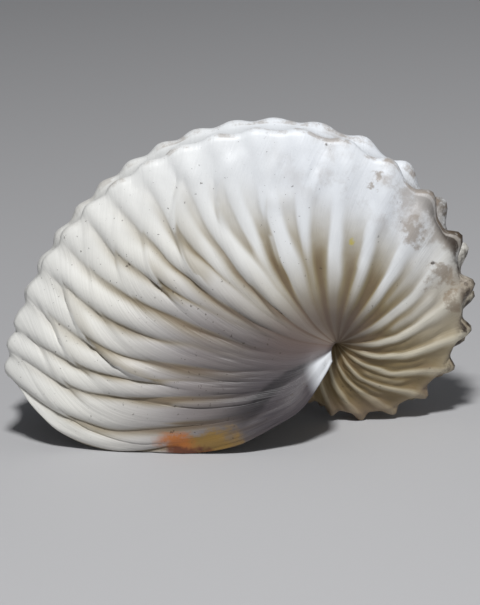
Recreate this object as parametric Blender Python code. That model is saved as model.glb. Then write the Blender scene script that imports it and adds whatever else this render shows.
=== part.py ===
"""Paper nautilus shell: one thin coiled shell, modelled in metres with +Z up and +X along its length.

The keel follows a logarithmic spiral about an axis along Y.  Every point is given by its angle about
that axis, by its share of the keel's radius at that angle, and by its distance from the middle plane.
"""
import math

import bmesh
import bpy
import numpy as np

MM = 0.001

KEEL_RADIUS = 24.5 * MM          # from the axis to the keel at angle 0
GROWTH = 0.2856                  # the keel's radius grows by this power of e for each radian
WALL = 0.9 * MM                  # between the grooves and the smooth inside
RIB_HEIGHT = 0.85 * MM
TURN = -3.35                     # degrees about Y that bring lip and coil down to one level

# Half section from the middle of the keel to the umbilical seam, as shares of the keel's radius
SECTION = [
    (0.955, 0.000), (0.958, 0.058), (0.968, 0.096), (0.930, 0.114), (0.860, 0.134), (0.770, 0.156),
    (0.655, 0.181), (0.530, 0.205), (0.405, 0.224), (0.295, 0.231), (0.215, 0.222), (0.150, 0.204),
    (0.084, 0.176), (0.030, 0.145),
]
KEEL_ROW = 2                     # the point of the half section that carries the nodules

# Growth lines: angle at the keel, and how far the line has swept forward at 0.4 of the radius
SWEEP = [
    (-500, -22), (-60, -22), (-20, -20), (20, -16), (40, -11), (60, -4), (80, 2), (100, 6), (130, 8),
    (150, 8), (165, 10), (176, 13), (182, 16), (185.5, 22), (187, 30),
]
# Share of that sweep reached at each share of the radius: early coil, last half turn, and the lip
EARLY_BEND = [
    (0.04, 1.65), (0.10, 1.60), (0.20, 1.45), (0.33, 1.20), (0.42, 1.00), (0.55, 0.68), (0.65, 0.42),
    (0.75, 0.20), (0.85, 0.06), (0.95, 0.00), (1.05, -0.03),
]
LATE_BEND = [
    (0.04, 1.75), (0.13, 1.60), (0.20, 1.35), (0.30, 1.14), (0.40, 1.00), (0.50, 0.87), (0.63, 0.70),
    (0.74, 0.50), (0.82, 0.31), (0.89, 0.13), (0.95, 0.00), (1.05, -0.12),
]
LIP_BEND = [
    (0.04, 1.78), (0.13, 1.68), (0.20, 1.42), (0.30, 1.20), (0.40, 1.00), (0.50, 0.80), (0.63, 0.62),
    (0.74, 0.46), (0.82, 0.30), (0.89, 0.14), (0.95, 0.00), (1.05, -0.12),
]
LIP = 187.0                      # growth line of the lip, by its angle at the keel
EARLY_CUT = -118.0               # where the inner coil takes over from the visible whorl
STEPS_A_NODULE = 5

SHELL_COLOUR = (0.80, 0.77, 0.70, 1.0)


def ease(low, high, value):
    """Rise smoothly from 0 at low to 1 at high."""
    share = np.clip((np.asarray(value, float) - low) / (high - low), 0.0, 1.0)
    return share * share * (3.0 - 2.0 * share)


def curve(points, value):
    """Read a smooth curve through hand-chosen points."""
    xs, ys = np.array(points, float).T
    slopes = np.gradient(ys, xs)
    value = np.clip(np.asarray(value, float), xs[0], xs[-1])
    spot = np.clip(np.searchsorted(xs, value, side="right") - 1, 0, len(xs) - 2)
    span = xs[spot + 1] - xs[spot]
    part = (value - xs[spot]) / span
    rise = ys[spot + 1] - ys[spot]
    start, end = slopes[spot] * span, slopes[spot + 1] * span
    return ys[spot] + part * (start + part * (3 * rise - 2 * start - end + part * (start + end - 2 * rise)))


def nodule_angles():
    """Keel angles of the near row of nodules, wide apart on the early coil and close near the lip."""
    angles = [-114.0 - 19.4 * 20]
    while angles[-1] < LIP - 13:
        angles.append(angles[-1] + 5.5 + 14.0 / (1.0 + math.exp((angles[-1] - 85.0) / 28.0)))
    return np.array(angles + [LIP - 5, LIP - 1.5, LIP + 0.3, LIP + 1])


NODULES = nodule_angles()


def keel_radius(angle):
    return KEEL_RADIUS * np.exp(GROWTH * np.radians(angle))


def line_angle(stage, share):
    """Angle that a growth line, named by its angle at the keel, has reached at a share of the radius."""
    late = ease(30, 110, stage)
    bend = curve(EARLY_BEND, share) * (1 - late) + curve(LATE_BEND, share) * late
    bend = bend + (curve(LIP_BEND, share) - bend) * ease(LIP - 7, LIP, stage)
    return stage + curve(SWEEP, stage) * bend


STAGES = np.concatenate([np.arange(-500, 170, 2.0), np.linspace(170, LIP, 60)])


def nodule_count(angle, share):
    """Number of the nodule, with its fraction, whose growth line passes a point of the flank."""
    angle = np.asarray(angle, float)
    stage = np.interp(angle, line_angle(STAGES, share), STAGES)
    return np.interp(stage, NODULES, np.arange(len(NODULES)))


def dune(count):
    """A rib crest at each whole number, with its steep side towards the lip."""
    part = np.mod(count, 1.0)
    fall = 0.4
    down = 0.5 + 0.5 * np.cos(math.pi * part / fall)
    up = 0.5 - 0.5 * np.cos(math.pi * (part - fall) / (1 - fall))
    return np.where(part < fall, down, up) ** 0.8


def rib(angle, share, offset):
    """Rib height from 0 to 1.  Near the lip every second rib fades out before it reaches the middle."""
    count = nodule_count(angle, share) - offset
    paired = ease(60, 110, angle) * (1 - ease(0.38, 0.62, share))
    paired = paired * (1 - ease(len(NODULES) - 5.5, len(NODULES) - 4.5, count))
    return dune(count) * (1 - paired) + 1.25 * dune(count / 2) * paired


def nodule(angle, share, offset):
    """Nodule height from 0 to 1: a cusp on the early coil and a low round bump near the lip."""
    count = nodule_count(angle, share) - offset
    wave = 0.5 + 0.5 * np.cos(2 * math.pi * count)
    return wave ** (2.4 - 1.4 * ease(0, 120, angle)) * (1 - ease(LIP - 4, LIP, angle))


def section_normals():
    """Outward direction at each level of the half section, as radial and sideways parts."""
    along = np.gradient(np.array(SECTION), axis=0)
    normals = np.stack([along[:, 1], -along[:, 0]], axis=1)
    return normals / np.linalg.norm(normals, axis=1)[:, None]


def half_point(level, angles, side, ribbed):
    """Points of one level of the half section at the given angles, on one side of the middle plane."""
    share, width = SECTION[level]
    radius = keel_radius(angles)
    out, aside = share * radius, width * radius
    offset = 0.0 if side < 0 else 0.6
    early = 1 - ease(30, 110, angles)
    if level <= KEEL_ROW + 1:
        out = out - 0.075 * early * radius * (1.0 if level <= KEEL_ROW else 0.45)
    if ribbed:
        push = section_normals()[level]
        strength = ease(0.07, 0.30, share) * (1 - 0.55 * ease(0.80, 0.95, share))
        size = RIB_HEIGHT * (radius / (40 * MM)) ** 0.3 * strength * (width > 0.11)
        lift = size * rib(angles, share, offset)
        out = out + push[0] * lift
        aside = aside + push[1] * lift
        bump = nodule(angles, share, offset) * radius * (0.017 + 0.078 * early)
        reach = {KEEL_ROW - 1: 0.35, KEEL_ROW: 1.0, KEEL_ROW + 1: 0.45}.get(level, 0.0)
        out = out + bump * reach
        aside = aside + bump * reach * 0.12 * (level >= KEEL_ROW)
    turned = np.radians(angles)
    return np.stack([out * np.cos(turned), side * aside, out * np.sin(turned)], axis=-1)


def rings(line_sets, levels, ribbed=True, inset=0.0, shrink=1.0):
    """Closed rings of points, one for each line, from the near seam over the keel to the far seam."""
    columns = []
    order = [(level, -1) for level in reversed(levels)] + [(level, 1) for level in levels[1:]]
    for level, side in order:
        points = half_point(level, line_sets[:, level], side, ribbed)
        if inset:
            push = section_normals()[level]
            turned = np.radians(line_sets[:, level])
            way = np.stack([push[0] * np.cos(turned), side * push[1] + 0 * turned, push[0] * np.sin(turned)], -1)
            points = points - inset * way
        columns.append(points * shrink)
    return np.stack(columns, axis=1)


def growth_lines(stages, cut):
    """Angles of grid lines at each level: flat fill from the cut to the first stage, then growth lines."""
    shares = [share for share, width in SECTION]
    true = np.stack([line_angle(np.asarray(stages, float), share) for share in shares], axis=1)
    steps = int(round((stages[0] - cut) / 4.0))
    part = (np.arange(steps) / steps)[:, None]
    return np.vstack([cut + (true[:1] - cut) * part, true])


def place(points):
    """Turn the shell about Y to its rest."""
    turn = math.radians(TURN)
    x, z = points[..., 0], points[..., 2]
    return np.stack([
        x * math.cos(turn) - z * math.sin(turn), points[..., 1], x * math.sin(turn) + z * math.cos(turn)], axis=-1)


def loft(name, grid, collection, shift):
    """A closed solid through rings; each end is closed by strips between its near and far half."""
    mesh = bmesh.new()
    rows = [[mesh.verts.new(point + shift) for point in ring] for ring in place(grid)]
    count = len(rows[0])
    for low, high in zip(rows, rows[1:]):
        for spot in range(count):
            after = (spot + 1) % count
            mesh.faces.new((low[spot], low[after], high[after], high[spot]))
    middle = count // 2
    for row in (rows[0], rows[-1]):
        for spot in range(middle):
            corners = [row[spot], row[spot + 1], row[count - 2 - spot], row[count - 1 - spot]]
            mesh.faces.new(corners if spot + 1 < middle else corners[:2] + corners[3:])
    bmesh.ops.recalc_face_normals(mesh, faces=mesh.faces)
    data = bpy.data.meshes.new(name)
    mesh.to_mesh(data)
    mesh.free()
    data.shade_smooth()
    body = bpy.data.objects.new(name, data)
    collection.objects.link(body)
    return body


def core(name, collection, shift):
    """The small pillar on the axis that the first turns of the coil wind about."""
    mesh = bmesh.new()
    bmesh.ops.create_cone(
        mesh, cap_ends=True, segments=16, radius1=0.65 * MM, radius2=0.65 * MM, depth=1.0 * MM)
    for vertex in mesh.verts:
        vertex.co = (vertex.co.x, vertex.co.z, vertex.co.y)
    bmesh.ops.recalc_face_normals(mesh, faces=mesh.faces)
    bmesh.ops.translate(mesh, verts=mesh.verts, vec=shift)
    data = bpy.data.meshes.new(name)
    mesh.to_mesh(data)
    mesh.free()
    body = bpy.data.objects.new(name, data)
    collection.objects.link(body)
    return body


def shell_stages():
    """Growth lines at even fractions between nodules, up to the lip."""
    first = np.interp(-78.0, NODULES, np.arange(len(NODULES)))
    last = np.interp(LIP, NODULES, np.arange(len(NODULES)))
    counts = np.arange(math.ceil(first * STEPS_A_NODULE), last * STEPS_A_NODULE) / STEPS_A_NODULE
    stages = np.interp(counts, np.arange(len(NODULES)), NODULES)
    return np.append(stages[stages < LIP - 0.4], LIP)


def inner_lines():
    """Plain radial lines of the inner coil, hidden within the last whorl."""
    angles = np.linspace(-470.0, -112.0, 26)
    return np.repeat(angles[:, None], len(SECTION), axis=1)


def hollow_lines():
    """Lines of the room inside, carried a little past the lip."""
    stages = np.append(np.arange(-60, 180, 12.0), [180.0, LIP])
    lines = growth_lines(stages, -100.0)
    return np.vstack([lines, lines[-1:] + 2.5])


def finish_of(name, colour):
    material = bpy.data.materials.new(name)
    material.use_nodes = True
    shader = material.node_tree.nodes["Principled BSDF"]
    shader.inputs["Base Color"].default_value = colour
    shader.inputs["Roughness"].default_value = 0.45
    return material


def combine(body, tool, operation):
    cut = body.modifiers.new(tool.name, "BOOLEAN")
    cut.operation = operation
    cut.solver = "EXACT"
    cut.object = tool


def main():
    for item in list(bpy.data.objects):
        bpy.data.objects.remove(item, do_unlink=True)
    part = bpy.data.collections.new("paper nautilus shell")
    cutters = bpy.data.collections.new("cutters")
    for collection in (part, cutters):
        bpy.context.scene.collection.children.link(collection)
    cutters.hide_render = True

    every = list(range(len(SECTION)))
    outside = rings(growth_lines(shell_stages(), EARLY_CUT), every)
    placed = place(outside).reshape(-1, 3)
    low, high = placed.min(axis=0), placed.max(axis=0)
    shift = np.array([-(low[0] + high[0]) / 2, -(low[1] + high[1]) / 2, -low[2]])

    shell = loft("shell", outside, part, shift)
    room = [0, 2, 3, 5, 7, 8, 9, 10, 11, 12]
    hollow = loft("room inside", rings(hollow_lines(), room, False, WALL), cutters, shift)
    inner_levels = [0, 2, 4, 6, 8, 10, 11, 12, 13]
    inner = loft("inner coil", rings(inner_lines(), inner_levels, False, 0.0, 0.985), cutters, shift)
    pillar = core("pillar", cutters, shift)
    combine(shell, hollow, "DIFFERENCE")
    combine(shell, inner, "UNION")
    combine(shell, pillar, "UNION")
    shell.data.materials.append(finish_of("shell", SHELL_COLOUR))
    for tool in (hollow, inner, pillar):
        tool.display_type = "WIRE"
        tool.hide_render = True


main()
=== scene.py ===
"""Looks of the paper nautilus shell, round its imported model, in metres."""
import math
from types import SimpleNamespace

import bmesh
import bpy
import numpy as np
from mathutils import Matrix, Vector


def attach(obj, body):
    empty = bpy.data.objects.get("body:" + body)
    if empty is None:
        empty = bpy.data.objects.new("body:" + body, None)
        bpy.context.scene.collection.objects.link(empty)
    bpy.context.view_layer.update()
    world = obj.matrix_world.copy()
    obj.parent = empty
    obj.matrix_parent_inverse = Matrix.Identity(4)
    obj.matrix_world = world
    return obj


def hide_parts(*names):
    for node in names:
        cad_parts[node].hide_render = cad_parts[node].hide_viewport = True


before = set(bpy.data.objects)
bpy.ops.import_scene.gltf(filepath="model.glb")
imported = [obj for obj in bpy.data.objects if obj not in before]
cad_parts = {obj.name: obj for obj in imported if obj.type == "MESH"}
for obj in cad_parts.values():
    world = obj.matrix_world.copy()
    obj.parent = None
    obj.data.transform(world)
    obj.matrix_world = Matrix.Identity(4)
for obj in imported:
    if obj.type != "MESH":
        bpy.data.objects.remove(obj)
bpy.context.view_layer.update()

MM = 0.001

# The shell's form, as in its solid: a keel on a logarithmic spiral about an axis along Y
AXIS = Vector((17.31, 0.07, 16.37)) * MM
TURN = -3.35                     # degrees about that axis, from the spiral's angles to the standing shell
KEEL_RADIUS = 24.5 * MM          # the spiral's radius at angle 0
GROWTH = 0.2856                  # what the radius gains a radian, as a power of e
LIP = 187.0                      # the lip's angle at the keel, in degrees
# Half its section from the keel's middle inwards: distance from the axis, and width to one side, both as
# shares of the spiral's radius
SECTION = [
    (0.955, 0.000), (0.958, 0.058), (0.968, 0.096), (0.930, 0.114), (0.860, 0.134), (0.770, 0.156),
    (0.655, 0.181), (0.530, 0.205), (0.405, 0.224), (0.295, 0.231), (0.215, 0.222), (0.150, 0.204),
    (0.084, 0.176), (0.030, 0.145),
]
KEEL_ROW = 2                     # the section's point that carries the nodules
LAST_POINT = len(SECTION) - 1
# Growth lines: angle at the keel, and how far the line has swept forward at 0.4 of the radius
SWEEP = [
    (-600, -22), (-60, -22), (-20, -20), (20, -14), (60, 0), (90, 14), (120, 26), (150, 32), (187, 30),
]
# Share of that sweep reached at each share of the radius: early coil, last half turn, and the lip
EARLY_BEND = [
    (0.04, 1.65), (0.10, 1.60), (0.20, 1.45), (0.33, 1.20), (0.42, 1.00), (0.55, 0.68), (0.65, 0.42),
    (0.75, 0.20), (0.85, 0.06), (0.95, 0.00), (1.05, -0.03),
]
LATE_BEND = [
    (0.04, 1.75), (0.13, 1.60), (0.20, 1.35), (0.30, 1.14), (0.40, 1.00), (0.50, 0.87), (0.63, 0.70),
    (0.74, 0.50), (0.82, 0.31), (0.89, 0.13), (0.95, 0.00), (1.05, -0.12),
]
LIP_BEND = [
    (0.04, 1.78), (0.13, 1.68), (0.20, 1.42), (0.30, 1.20), (0.40, 1.00), (0.50, 0.80), (0.63, 0.62),
    (0.74, 0.46), (0.82, 0.30), (0.89, 0.14), (0.95, 0.00), (1.05, -0.12),
]
# Ribs cross the growth lines, and those nearest the lip run out over its edge
RIB_SWEEP = [
    (-600, -22), (-60, -22), (-20, -20), (20, -16), (40, -11), (60, -4), (80, 2), (100, 6), (130, 7),
    (150, 7.5), (160, 8.5), (170, 11), (180, 12.5), (184, 14), (187.5, 19.5), (191.5, 21), (205, 22),
]
RIB_BEND = [
    (0.04, 2.20), (0.13, 1.90), (0.20, 1.58), (0.30, 1.25), (0.40, 1.00), (0.50, 0.88), (0.65, 0.68),
    (0.80, 0.36), (0.89, 0.14), (0.95, 0.00), (1.05, -0.15),
]
LINE_NAMES = (-600.0, 206.0)     # lines are named by their angle at the keel, and these bound the names
EARLY_COIL = (30, 110)           # between these names the early coil's form gives way to the last whorl's
# Nodules of the near row, by name: the first, the gap between two near the lip, and the extra gap of the
# early coil, with the name where half of it is left and how slowly it goes
FIRST_NODULE = -114.0 - 19.4 * 24
CLOSE_GAP = 5.5
EXTRA_GAP = 14.0
EXTRA_HALF = 85.0
EXTRA_FADE = 28.0
LIP_NODULES = [181.2, 185.8, 189.5, 193.2, 197.0, 201.0, 205.0]
FAR_SHIFT = 0.6                  # of a gap, by which the far row of nodules lies nearer the lip
LIP_BUMP = 0.017                 # of the spiral's radius: height of a nodule near the lip,
COIL_BUMP = 0.078                # how much higher it is on the early coil,
KEEL_DIP = 0.075                 # and how much lower the rim between its nodules lies there

RIB_HEIGHT = 0.80 * MM
RIB_RADIUS = 40 * MM             # keel radius where the ribs have that height
STEP_HEIGHT = 0.50 * MM
FACET_JUMP = 0.26                # of the way between two ribs, by which a rib jumps at a growth step
WAVE_HEIGHT = 0.10 * MM          # of the faint unevenness of the whole flank
WALL = 0.55 * MM
FLARE = 1.8 * MM                 # how far the lip rolls outwards beside the coil
FLOOR_GAP = 0.10 * MM            # the outside stays this far above the floor
AXIS_REACH = 0.65                # of the last point's distance: how much nearer the edge lies to the axis

INNERMOST = -560.0               # the first growth line of the grid,
FIRST_SHOWN = -150.0             # and the first one from which its rows lie close together
HIDDEN_ROWS = 60
ROWS_A_RIB = 12
COLUMNS_A_SIDE = 58
# Share of the columns, and the section's point that it reaches: most columns lie on the flank
COLUMN_SPREAD = [(0.0, 0.0), (0.14, 3.0), (0.88, 10.3), (1.0, 13.0)]

# The camera, as found from the photograph
CAMERA_AZIMUTH = 3.0
CAMERA_ELEVATION = 17.0
CAMERA_DISTANCE = 0.513
CAMERA_ROLL = 3.35               # the photographed shell leans this much more towards its lip
LENS = 166.0
CAMERA_AIM = (-17.5 * MM, 5.85 * MM)   # from the coil's axis, to the right and up in the picture


def ease(low, high, value):
    """Rise smoothly from 0 at low to 1 at high, or fall where low is above high."""
    share = np.clip((np.asarray(value, float) - low) / (high - low), 0.0, 1.0)
    return share * share * (3.0 - 2.0 * share)


def curve(points, value):
    """Read a smooth curve through given points."""
    xs, ys = np.array(points, float).T
    slopes = np.gradient(ys, xs)
    value = np.clip(np.asarray(value, float), xs[0], xs[-1])
    spot = np.clip(np.searchsorted(xs, value, side="right") - 1, 0, len(xs) - 2)
    span = xs[spot + 1] - xs[spot]
    part = (value - xs[spot]) / span
    rise = ys[spot + 1] - ys[spot]
    start, end = slopes[spot] * span, slopes[spot + 1] * span
    inner = 3 * rise - 2 * start - end + part * (start + end - 2 * rise)
    return ys[spot] + part * (start + part * inner)


def wander(along, across, seed):
    """Smooth noise from -1 to 1 between random heights at whole numbers."""
    size = 97
    heights = np.random.default_rng(seed).uniform(-1, 1, (size, size))
    low_x, low_y = np.floor(along).astype(int), np.floor(across).astype(int)
    part_x, part_y = ease(0, 1, along - low_x), ease(0, 1, across - low_y)

    def between(y):
        here, there = heights[low_x % size, y % size], heights[(low_x + 1) % size, y % size]
        return here * (1 - part_x) + there * part_x

    return between(low_y) * (1 - part_y) + between(low_y + 1) * part_y


def nodule_names():
    """Names of the near row of nodules, wide apart on the early coil and close near the lip."""
    names = [FIRST_NODULE]
    while names[-1] < LIP - 13:
        extra = EXTRA_GAP / (1.0 + math.exp((names[-1] - EXTRA_HALF) / EXTRA_FADE))
        names.append(names[-1] + CLOSE_GAP + extra)
    return np.array(names + LIP_NODULES)


NODULES = nodule_names()
COUNTS = np.arange(len(NODULES))
# This rib and every second one before it run inward
LONG_RIB = int(np.interp(LIP_NODULES[0], NODULES, COUNTS) + 0.5)


def bend(name, share, late_bend):
    """Share of its sweep that a line has reached at a share of the radius."""
    late = ease(*EARLY_COIL, name)
    return curve(EARLY_BEND, share) * (1 - late) + curve(late_bend, share) * late


def growth_angle(stage, share):
    """Angle that the growth line of that name has reached at a share of the radius."""
    reached = bend(stage, share, LATE_BEND)
    reached = reached + (curve(LIP_BEND, share) - reached) * ease(LIP - 7, LIP, stage)
    return stage + curve(SWEEP, stage) * reached


def rib_angle(line, share):
    """Angle that the rib line of that name has reached at a share of the radius."""
    return line + curve(RIB_SWEEP, line) * bend(line, share, RIB_BEND)


def rib_through(angle, share):
    """Name of the rib line that passes each point, column by column."""
    names = np.arange(*LINE_NAMES)
    found = [
        np.interp(angle[:, column], rib_angle(names, share[0, column]), names)
        for column in range(share.shape[1])]
    return np.stack(found, axis=1)


def dune(count, narrow, fall=0.34):
    """A rib crest at each whole number, with its steep side towards the lip."""
    part = np.mod(count, 1.0)
    down = 0.5 + 0.5 * np.cos(math.pi * part / fall)
    up = 0.5 - 0.5 * np.cos(math.pi * (part - fall) / (1 - fall))
    return np.where(part < fall, down, up) ** narrow


def shell_stages():
    """Growth lines from the hidden first turn to the lip, close together where the shell shows."""
    first = np.interp(INNERMOST, NODULES, COUNTS)
    shown = np.interp(FIRST_SHOWN, NODULES, COUNTS)
    last = np.interp(LIP, NODULES, COUNTS)
    hidden = np.linspace(first, shown, HIDDEN_ROWS, endpoint=False)
    fine = np.linspace(shown, last, int((last - shown) * ROWS_A_RIB))
    return np.interp(np.concatenate([hidden, fine]), COUNTS, NODULES)


def section(columns):
    """Place along the section's points, shares of the radius, and the way out of the wall, by column."""
    shares = [(spot, share) for spot, (share, width) in enumerate(SECTION)]
    widths = [(spot, width) for spot, (share, width) in enumerate(SECTION)]
    level = np.interp(np.abs(columns), *np.array(COLUMN_SPREAD).T)[None, :]
    step = 0.05
    ahead, back = np.clip(level + step, 0, LAST_POINT), np.clip(level - step, 0, LAST_POINT)
    share_step = curve(shares, ahead) - curve(shares, back)
    width_step = curve(widths, ahead) - curve(widths, back)
    length = np.hypot(share_step, width_step)
    to_axis = AXIS_REACH * ease(LAST_POINT - 1, LAST_POINT, level)
    return SimpleNamespace(
        level=level, share=curve(shares, level) * (1 - to_axis), width=curve(widths, level),
        push_out=width_step / length, push_aside=-share_step / length,
        side=np.where(columns < 0, -1.0, 1.0)[None, :])


def shell_grid(stages, columns):
    """What holds at each point: its growth line, angle, rib line, and how early in the coil it lies."""
    at = section(columns)
    at.stage = stages[:, None] + 0 * at.share
    at.angle = growth_angle(at.stage, at.share + 0 * at.stage)
    at.radius = KEEL_RADIUS * np.exp(GROWTH * np.radians(at.angle))
    at.line = rib_through(at.angle, at.share)
    at.count = np.interp(at.line, NODULES, COUNTS) - np.where(at.side < 0, 0.0, FAR_SHIFT)
    at.early = 1 - ease(*EARLY_COIL, at.line)
    return at


def lower_flank(at):
    """How far a point lies on the last whorl's lower flank, from 0 to 1."""
    return ease(130, 160, at.line) * ease(0.60, 0.42, at.share)


def facets(at):
    """Place from 0 to 1 between two growth steps, which cut the ribs, and how clear the steps are."""
    count = np.interp(at.stage, NODULES, COUNTS) * 0.85
    count = count + 0.30 * wander(at.stage / 11.0, at.share * 2 + at.side * 6, 41)
    clear = 0.2 + 0.8 * ease(-0.5, 0.4, wander(at.stage / 9.0, at.share * 5 + at.side * 8, 42))
    clear = clear * ease(0.14, 0.36, at.share) * ease(0.98, 0.84, at.share)
    clear = clear * (0.1 + 0.9 * ease(45, 100, at.line - 45 * ease(0.74, 0.62, at.share)))
    return np.mod(count, 1.0), clear * (1 - 0.45 * lower_flank(at))


def ribs(at, count):
    """Rib height from 0 to 1: low ribs lie between the early ones, and pairs join near the lip."""
    drift = 0.09 * wander(count * 0.9, at.share * 5 + at.side * 9, 3)
    drift = drift + 0.05 * wander(count * 2.1, at.share * 11 + at.side * 7, 4)
    wavy = count + drift * ease(0.97, 0.85, at.share)
    paired = ease(60, 110, at.line) * ease(0.64, 0.40, at.share)
    paired = paired * ease(LONG_RIB + 0.9, LONG_RIB + 0.3, count)
    narrow = 0.55 + 1.15 * ease(150, 80, at.line)
    narrow = narrow + 0.40 * ease(120, 160, at.line) * ease(0.62, 0.40, at.share)
    single, double = dune(wavy, narrow), dune((wavy - LONG_RIB) / 2, 0.80, 0.30)
    between = dune(wavy + 0.5, 1.5) * at.early * ease(0.30, 0.42, at.share) * ease(0.80, 0.66, at.share)
    between = between * ease(-0.6, 0.6, wander(count * 0.5, at.side * 3, 31))
    return np.maximum(single, 0.75 * between) * (1 - 0.7 * paired) + 0.9 * double * paired


def rib_strength(at):
    """Ribs fade at the keel and round the umbilicus, and stay low over the top of the shell."""
    share, line = at.share, at.line
    strength = ease(0.10, 0.36, share) * (1 - 0.55 * ease(0.85, 0.97, share))
    strength = strength * ease(0.100, 0.118, at.width)
    strength = strength * (1 + 0.35 * ease(0.45, 0.65, share) * ease(115, 85, line))
    strength = strength * (1 - 0.52 * lower_flank(at))
    top = ease(80, 110, line) * ease(165, 125, line)
    strength = strength * (1 - 0.15 * top) * (1 - 0.30 * top * ease(0.55, 0.80, share))
    return strength * (1 - 0.40 * at.early) * (1 + 0.30 * wander(at.count, at.side * 5, 11))


def relief(at):
    """How far ribs and growth steps stand out, with the rib and step facts that the material reads."""
    phase, clear = facets(at)
    rib = ribs(at, at.count + FACET_JUMP * (phase - 0.5) * clear)
    margin = 1 - 0.85 * ease(LIP - 18, LIP - 4, at.stage) * ease(0.58, 0.40, at.share)
    lift = RIB_HEIGHT * (at.radius / RIB_RADIUS) ** 0.3 * rib * (rib_strength(at) * margin)
    lift = lift + STEP_HEIGHT * dune(phase, 1.0, 0.10) * clear * margin
    waves = wander(at.count * 5, at.share * 16 + at.side * 30, 21)
    return lift + WAVE_HEIGHT * waves * ease(0.1, 0.3, at.share), np.clip(rib, 0, 1), phase * clear


def nodules(at):
    """How far the row of nodules stands out: cusps on the early coil, low round bumps near the lip."""
    wave = 0.5 + 0.5 * np.cos(2 * math.pi * at.count)
    bump = wave ** (2.4 - 1.4 * ease(0, 120, at.line)) * (1 - 0.5 * ease(LIP - 2, LIP, at.stage))
    bump = bump * at.radius * (LIP_BUMP + COIL_BUMP * at.early)
    from_row = at.level - KEEL_ROW
    return bump * np.exp(-(np.where(from_row < 0, from_row / 0.95, from_row / 1.1)) ** 2)


def stand(out, aside, angle):
    """Turn distances from the axis and aside into places of the standing shell."""
    turned, turn = np.radians(angle), math.radians(TURN)
    x, z = out * np.cos(turned), out * np.sin(turned)
    return np.stack([
        x * math.cos(turn) - z * math.sin(turn) + AXIS.x, aside + AXIS.y,
        np.maximum(x * math.sin(turn) + z * math.cos(turn) + AXIS.z, FLOOR_GAP)], axis=-1)


def shell_points(at):
    """Points of the outside, and the facts that the material reads at each of them."""
    lift, rib, facet = relief(at)
    bump = nodules(at)
    keel = 1 - ease(KEEL_ROW + 0.3, KEEL_ROW + 2.0, at.level)
    flare = ease(LIP - 24, LIP, at.stage) ** 2 * ease(0.26, 0.02, at.share) ** 2
    out = at.share * at.radius - KEEL_DIP * at.early * at.radius * keel + at.push_out * lift + bump
    aside = at.width * at.radius + at.push_aside * lift
    aside = aside + bump * 0.12 * ease(-0.5, 0.5, at.level - KEEL_ROW) + FLARE * flare
    facts = {"rib": rib, "share": at.share + 0 * at.stage, "line": at.line, "stage": at.stage, "facet": facet}
    return stand(out, at.side * aside, at.angle), facts


def wall_shares(stages):
    """Share of the wall's thickness at each growth line: thin in the hidden turns and at the lip."""
    return (0.12 + 0.88 * ease(-60, 60, stages)) * (1 - 0.45 * ease(LIP - 4, LIP, stages))


def finished(name, mesh):
    """Make a worked mesh an object of the scene."""
    data = bpy.data.meshes.new(name)
    mesh.to_mesh(data)
    mesh.free()
    body = bpy.data.objects.new(name, data)
    bpy.context.scene.collection.objects.link(body)
    return body


def shell():
    """The whole shell: a grid bent round the spiral, with its wall inside."""
    stages = shell_stages()
    columns = np.linspace(-1, 1, 2 * COLUMNS_A_SIDE + 1)
    points, facts = shell_points(shell_grid(stages, columns))
    thickness = wall_shares(stages)
    rows, count = len(stages), len(columns)
    mesh = bmesh.new()
    bmesh.ops.create_grid(mesh, x_segments=rows - 1, y_segments=count - 1, size=1.0)
    layers = {name: mesh.verts.layers.float.new(name) for name in facts}
    thick = mesh.verts.layers.deform.new()
    for vertex in mesh.verts:
        row = round((vertex.co.x + 1) / 2 * (rows - 1))
        column = round((vertex.co.y + 1) / 2 * (count - 1))
        vertex.co = points[row, column]
        for name, layer in layers.items():
            vertex[layer] = float(facts[name][row, column])
        vertex[thick][0] = thickness[row]
    body = finished("shell_walls", mesh)
    body.data.shade_smooth()
    body.vertex_groups.new(name="thickness")
    wall = body.modifiers.new("wall", "SOLIDIFY")
    wall.thickness = WALL
    wall.offset = -1.0
    wall.use_even_offset = False
    wall.vertex_group = "thickness"
    return body


class Socket:
    """One output of a shader node, with the sums that Python writes on it."""

    def __init__(self, shader, output):
        self.shader, self.output = shader, output

    def math(self, operation, other):
        return self.shader.node("ShaderNodeMath", {"operation": operation}, {0: self, 1: other})

    def __add__(self, other):
        return self.math("ADD", other)

    __radd__ = __add__

    def __mul__(self, other):
        return self.math("MULTIPLY", other)

    __rmul__ = __mul__

    def __sub__(self, other):
        return self.math("SUBTRACT", other)

    def __rsub__(self, other):
        return (self * -1) + other

    def rise(self, low, high):
        """Rise smoothly from 0 at low to 1 at high, or fall where low is above high."""
        return self.shader.node(
            "ShaderNodeMapRange", {"interpolation_type": "SMOOTHSTEP"},
            {"Value": self, "From Min": low, "From Max": high, "To Min": 0.0, "To Max": 1.0})


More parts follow.
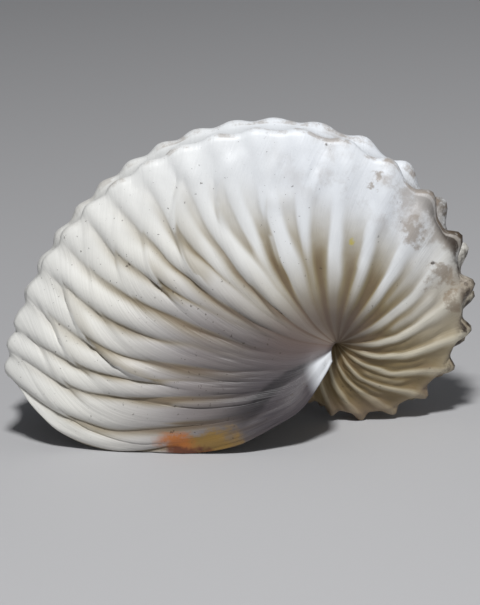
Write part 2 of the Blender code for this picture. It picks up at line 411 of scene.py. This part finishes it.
class Shader:
    """A material's node tree, filled by Python expressions."""

    def __init__(self, name):
        self.material = bpy.data.materials.new(name)
        self.material.use_nodes = True
        self.tree = self.material.node_tree
        self.surface = self.tree.nodes["Principled BSDF"]
        self.colour = None

    def node(self, kind, settings=(), inputs=(), output=0):
        made = self.tree.nodes.new(kind)
        for name, value in dict(settings).items():
            setattr(made, name, value)
        for name, value in dict(inputs).items():
            self.feed(made.inputs[name], value)
        return Socket(self, made.outputs[output])

    def feed(self, socket, value):
        if isinstance(value, Socket):
            self.tree.links.new(value.output, socket)
        else:
            socket.default_value = value

    def set(self, name, value):
        self.feed(self.surface.inputs[name], value)

    def fact(self, name):
        """A number that the mesh carries at each of its points."""
        return self.node("ShaderNodeAttribute", {"attribute_name": name}, output="Fac")

    def noise(self, where, scale, detail=3.0, roughness=0.55):
        return self.node("ShaderNodeTexNoise", (), {
            "Vector": where, "Scale": scale, "Detail": detail, "Roughness": roughness})

    def vector(self, x, y, z):
        return self.node("ShaderNodeCombineXYZ", (), {0: x, 1: y, 2: z})

    def gap(self, where, place):
        """Distance in mm from a place in mm."""
        ends = {0: where, 1: Vector(place) * MM}
        return self.node("ShaderNodeVectorMath", {"operation": "DISTANCE"}, ends, output="Value") * (1 / MM)

    def mix(self, amount, first, second):
        return self.node(
            "ShaderNodeMix", {"data_type": "RGBA"}, {"Factor": amount, 6: first, 7: second}, output=2)

    def tint(self, amount, colour):
        """Lay a colour over what the surface has so far."""
        self.colour = self.mix(amount, self.colour, colour)


WHITE = (0.79, 0.82, 0.86, 1)
IVORY = (0.80, 0.79, 0.74, 1)
CREAM = (0.58, 0.50, 0.33, 1)
PALE = (0.74, 0.70, 0.58, 1)
OLIVE = (0.19, 0.13, 0.045, 1)
TAN = (0.268, 0.213, 0.112, 1)
BROWN = (0.14, 0.09, 0.05, 1)
SAND = (0.265, 0.215, 0.13, 1)
TAUPE = (0.14, 0.095, 0.08, 1)
DUST = (0.24, 0.172, 0.11, 1)
SHADOW = (0.022, 0.019, 0.021, 1)
UMBER = (0.17, 0.115, 0.05, 1)
PLUM = (0.085, 0.076, 0.086, 1)
SLATE = (0.040, 0.036, 0.044, 1)
SMUDGE = (0.045, 0.032, 0.022, 1)
MAUVE = (0.205, 0.18, 0.19, 1)
RUST = (0.40, 0.13, 0.022, 1)
BURNT = (0.12, 0.03, 0.008, 1)
OCHRE = (0.25, 0.15, 0.035, 1)
YELLOW = (0.50, 0.42, 0.08, 1)

# Specks of dirt on the near flank: place and radius in mm, and colour
SPECKS = [
    ((21.1, -7.3, 36.1), 0.80, YELLOW), ((17.4, -4.1, 53.1), 0.50, SMUDGE),
    ((35.6, -4.9, 30.7), 0.45, SMUDGE), ((-18.7, -8.9, 34.3), 0.45, SMUDGE),
    ((-26.4, -9.6, 24.9), 0.40, SMUDGE), ((3.9, -6.9, 47.3), 0.35, TAUPE),
    ((19.5, -5.8, 48.9), 0.35, TAUPE), ((-6.5, -15.2, 11.6), 0.35, SMUDGE),
    ((-2.9, -15.5, 11.8), 0.40, SMUDGE), ((-1.9, -15.5, 10.1), 0.35, SMUDGE),
    ((0.5, -16.9, 3.8), 0.35, SMUDGE),
]
# Soft brown patches on the near flank, by the keel: place and radius in mm
PATCHES = [
    ((32.0, -5.6, 37.4), 2.6), ((37.2, -4.6, 28.0), 2.4),
    ((38.7, -4.7, 23.5), 2.0), ((27.0, -5.1, 46.5), 1.8),
]


def shell_masks(shader):
    """What the colours follow: the mesh's facts, noise, and the parts of the shell that they bound."""
    names = ("rib", "share", "line", "stage", "facet")
    at = SimpleNamespace(**{name: shader.fact(name) for name in names})
    at.where = shader.node("ShaderNodeTexCoord", output="Object")
    at.broad = shader.noise(at.where, 70.0, 4.0)
    at.blots = shader.noise(at.where, 190.0, 6.0, 0.7)
    at.fine = shader.noise(at.where, 420.0, 5.0, 0.6)
    at.streaks = shader.noise(shader.vector(at.stage * 0.9, at.share * 6.0, 0.0), 1.0, 4.0)
    at.coil = at.line.rise(70.0, -10.0)
    at.late = at.line.rise(95.0, 160.0)
    at.low = (at.share + (1 - at.late) * 0.24).rise(1.02, 0.62)
    at.under = at.line.rise(120.0, 165.0) * at.share.rise(0.80, 0.36)
    at.patch = 0.70 + 0.30 * at.broad.rise(0.36, 0.58)
    white_part = at.line.rise(70.0, 130.0)
    at.groove = at.rib.rise(0.98 - 0.18 * white_part, 0.40 - 0.20 * white_part)
    return at


def plain_wall(shader, at):
    """White to ivory, with cream on the early coil, grey mauve low on the flank that is partly its own tone
    and partly painted shade where the flank faces down, and sand further in.
    """
    shader.colour = shader.mix(at.late * 0.8 + at.low * 0.3, WHITE, IVORY)
    shader.tint(at.coil * 0.9, CREAM)
    # Grey mauve on the last whorl's lower flank: partly its own tone, partly painted shade where the flank
    # faces down.
    shader.tint(at.under * 0.92, MAUVE)
    inner = at.share.rise(0.52, 0.22) * (1 - at.coil) * (1 - 0.6 * at.late)
    shader.tint(inner * 0.85, SAND)


def groove_lines(shader, at):
    """Tan and brown between the ribs and at the growth steps, most in the fan above the umbilicus: partly the
    shell's own tan, partly painted shade that darkens the creases, deepest brown at a groove's bottom.
    """
    strength = 0.96 - 0.10 * at.late * at.share.rise(0.55, 0.75) - 0.35 * at.under
    # Tan in the grooves: partly the shell's own tan, partly painted shade in the creases between the ribs.
    shader.tint(at.groove * at.low * at.patch * strength, TAN)
    shader.tint(at.facet.rise(0.35, 1.00) * at.low * 0.45, TAN)
    fan = at.share.rise(0.76, 0.36) * at.line.rise(125.0, 70.0) * at.line.rise(-10.0, 30.0)
    shader.tint(fan * at.rib.rise(0.98, 0.30) * at.patch * 0.60, TAN)
    # Brown at the bottom of the grooves: partly the shell's brown, partly painted shade on the ribs' lower
    # sides.
    deep = at.rib.rise(0.50, 0.10) * at.share.rise(0.55 + 0.35 * at.late, 0.40)
    shader.tint(deep * at.low * 0.7, BROWN)


def early_coil(shader, at):
    """Olive and brown grooves between pale rib crests, and umber painted shade on the coil's underside, where
    it goes into itself.
    """
    shader.tint(at.coil * at.groove * at.share.rise(1.0, 0.80) * at.patch * 0.9, OLIVE)
    ridge = at.rib.rise(0.72, 1.0) * at.share.rise(0.16, 0.45)
    shader.tint(at.coil * ridge * (0.05 + 0.45 * at.line.rise(-90.0, 10.0)), PALE)
    shader.tint(at.coil * at.groove * at.share.rise(0.50, 0.20) * 0.65, BROWN)
    # Umber: painted shade on the underside of the early coil.
    shader.tint(at.coil * at.line.rise(10.0, -50.0) * 0.45, UMBER)


def by_umbilicus(shader, at):
    """Plum and streaky slate on the last half turn, and brown in the middle: partly the shell's own stain,
    partly painted shade in the hollow round the umbilicus and beside the lip's inner corner.
    """
    # Plum: partly stain, partly painted shade where the flank turns down into the umbilicus.
    shader.tint(at.share.rise(0.50, 0.18) * at.line.rise(120.0, 165.0) * 0.9, PLUM)
    # Slate: painted shade, streaked, by the lip's inner corner.
    slate = at.share.rise(0.40, 0.18) * at.line.rise(165.0, 184.0)
    shader.tint(slate * (0.55 + 0.35 * at.streaks.rise(0.62, 0.40)), SLATE)
    # Brown in the middle: partly stain, partly painted shade in the umbilicus' hollow.
    centre = at.share.rise(0.34, 0.14) * (0.70 - 0.60 * at.line.rise(150.0, 178.0))
    shader.tint(centre, shader.mix(at.coil, TAUPE, UMBER))


def coil_dirt(shader, at):
    """Brown smears and patches by the keel of the early coil, and dark tips on its nodules."""
    smears = at.share.rise(0.58, 0.84) * at.line.rise(120.0, 70.0)
    shader.tint(smears * (at.broad + at.blots * 0.7).rise(0.81, 0.99) * 0.50, DUST)
    torn = (at.blots - 0.5) * 16.0 + (at.fine - 0.5) * 7.0
    for place, radius in PATCHES:
        shader.tint((shader.gap(at.where, place) + torn).rise(radius, 0.0) * 0.65, DUST)
    rim = at.share.rise(0.80, 0.92) * at.line.rise(60.0, 10.0)
    shader.tint(rim * (at.broad + at.blots * 0.5).rise(0.58, 0.82) * 0.75, DUST)
    tips = at.share.rise(0.84, 0.94) * at.line.rise(75.0, 40.0) * at.line.rise(-45.0, 0.0)
    keel_middle = at.share.rise(0.950, 0.954) * at.share.rise(0.963, 0.959)
    shader.tint(tips * (at.blots + at.fine * 0.3).rise(0.50, 0.72) * (1 - 0.6 * keel_middle), SMUDGE)


def painted_shadow_streak(shader, at):
    """Painted shadow: the dark streak beside the lip's inner corner."""
    middle = 22.0 * at.share.rise(0.11, 0.27) + (LIP - 35.0)
    beside = at.stage - middle + (at.fine - 0.5) * 6.0
    streak = beside.rise(-8.0, -3.0) * beside.rise(8.0, 3.0)
    streak = streak * at.share.rise(0.34, 0.22) * at.share.rise(0.06, 0.09)
    shader.tint(streak * (0.65 + 0.35 * at.streaks.rise(0.35, 0.60)), SHADOW)


def lip_edge(shader, at):
    """Orange, ochre and burnt stain with a ragged edge at the lip, and a painted highlight in white on its
    rolled inner corner.
    """
    ragged = at.share + (at.blots - 0.5) * 0.12 + (at.fine - 0.5) * 0.06
    near_lip = at.stage + at.streaks * 3.0 + (at.blots - 0.5) * 10.0 + at.fine * 6.0
    stained = ragged.rise(0.29, 0.35) * ragged.rise(0.53, 0.49) * near_lip.rise(LIP - 5.0, LIP - 1.5)
    stain = shader.mix(ragged.rise(0.45, 0.40), RUST, OCHRE)
    stain = shader.mix(near_lip.rise(LIP + 1.0, LIP + 4.0) * ragged.rise(0.36, 0.42), stain, BURNT)
    shader.tint(stained * 0.95, stain)
    # Painted highlight: white where the lip's rolled inner corner catches the light.
    corner = at.share.rise(0.100, 0.045) * at.stage.rise(LIP - 42.0, LIP - 28.0)
    shader.tint(corner * 0.85, WHITE)


def small_dirt(shader, at):
    """Dirt along the keel's edges, fine dark dots, and the single specks."""
    edge = at.share.rise(0.959, 0.963) * at.line.rise(30.0, 60.0) * at.line.rise(170.0, 130.0)
    shader.tint(edge * at.blots.rise(0.46, 0.60) * 0.45, DUST)
    dots = shader.noise(at.where, 1400.0, 2.0) + at.under * 0.02
    shader.tint(dots.rise(0.69, 0.74) * (at.broad + at.under * 0.1).rise(0.42, 0.58) * 0.65, SMUDGE)
    for place, radius, colour in SPECKS:
        from_speck = shader.gap(at.where, place) + (at.fine - 0.5)
        shader.tint(from_speck.rise(radius * 1.4, radius), colour)


def shell_finish():
    """White shell with brown grooves, stain and dirt, painted shade in its creases, round the umbilicus and
    under the coil, a painted highlight at the lip's inner corner, a soft gloss, and fine growth lines as
    bump.
    """
    shader = Shader("shell_white")
    at = shell_masks(shader)
    plain_wall(shader, at)
    groove_lines(shader, at)
    early_coil(shader, at)
    by_umbilicus(shader, at)
    coil_dirt(shader, at)
    painted_shadow_streak(shader, at)
    lip_edge(shader, at)
    small_dirt(shader, at)
    shader.set("Base Color", shader.colour)
    shader.set("Roughness", 0.36 + 0.20 * at.fine)
    lines = shader.noise(shader.vector(at.stage * 1.6, at.share * 5.0, 0.0), 1.0, 5.0)
    height = lines + at.fine * 0.35
    bump = shader.node("ShaderNodeBump", (), {"Strength": 0.22, "Distance": 0.5 * MM, "Height": height})
    shader.set("Normal", bump)
    return shader.material


def floor_finish():
    shader = Shader("floor_pale")
    shader.set("Base Color", (0.50, 0.50, 0.51, 1))
    shader.set("Roughness", 0.8)
    return shader.material


def floor():
    mesh = bmesh.new()
    bmesh.ops.create_grid(mesh, x_segments=1, y_segments=1, size=3.0)
    ground = finished("floor", mesh)
    ground.data.materials.append(floor_finish())


def light(name, place, size, power, aim=(0, 0, 0.025)):
    lamp = bpy.data.lights.new(name, "AREA")
    lamp.shape, lamp.size, lamp.energy = "DISK", size, power
    item = bpy.data.objects.new(name, lamp)
    item.location = place
    item.rotation_euler = (Vector(aim) - Vector(place)).to_track_quat("-Z", "Y").to_euler()
    bpy.context.scene.collection.objects.link(item)


def lights():
    """A small high key from the camera's side, a weak fill from its right, and a dim sky."""
    light("key", (0.03, -0.36, 0.70), 0.12, 5.3)
    light("fill", (0.5, -0.8, 0.35), 0.6, 0.7)
    world = bpy.data.worlds.new("studio")
    world.use_nodes = True
    sky = world.node_tree.nodes["Background"]
    sky.inputs["Color"].default_value = (0.9, 0.93, 1.0, 1)
    sky.inputs["Strength"].default_value = 0.10
    bpy.context.scene.world = world
    bpy.context.scene.view_settings.view_transform = "Standard"


def camera():
    azimuth, elevation = math.radians(CAMERA_AZIMUTH), math.radians(CAMERA_ELEVATION)
    level_part = math.cos(elevation)
    back = Vector((math.sin(azimuth) * level_part, -math.cos(azimuth) * level_part, math.sin(elevation)))
    level = Vector((math.cos(azimuth), math.sin(azimuth), 0))
    right = Matrix.Rotation(math.radians(-CAMERA_ROLL), 3, back) @ level
    up = back.cross(right)
    aim = AXIS + right * CAMERA_AIM[0] + up * CAMERA_AIM[1]
    data = bpy.data.cameras.new("camera")
    data.lens = LENS
    data.clip_start = 0.01
    item = bpy.data.objects.new("camera", data)
    item.location = aim + back * CAMERA_DISTANCE
    item.rotation_euler = Matrix((right, up, back)).transposed().to_euler()
    bpy.context.scene.collection.objects.link(item)
    bpy.context.scene.camera = item


camera()
lights()
floor()
walls = shell()
walls.data.materials.append(shell_finish())
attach(walls, "root")
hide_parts("shell")
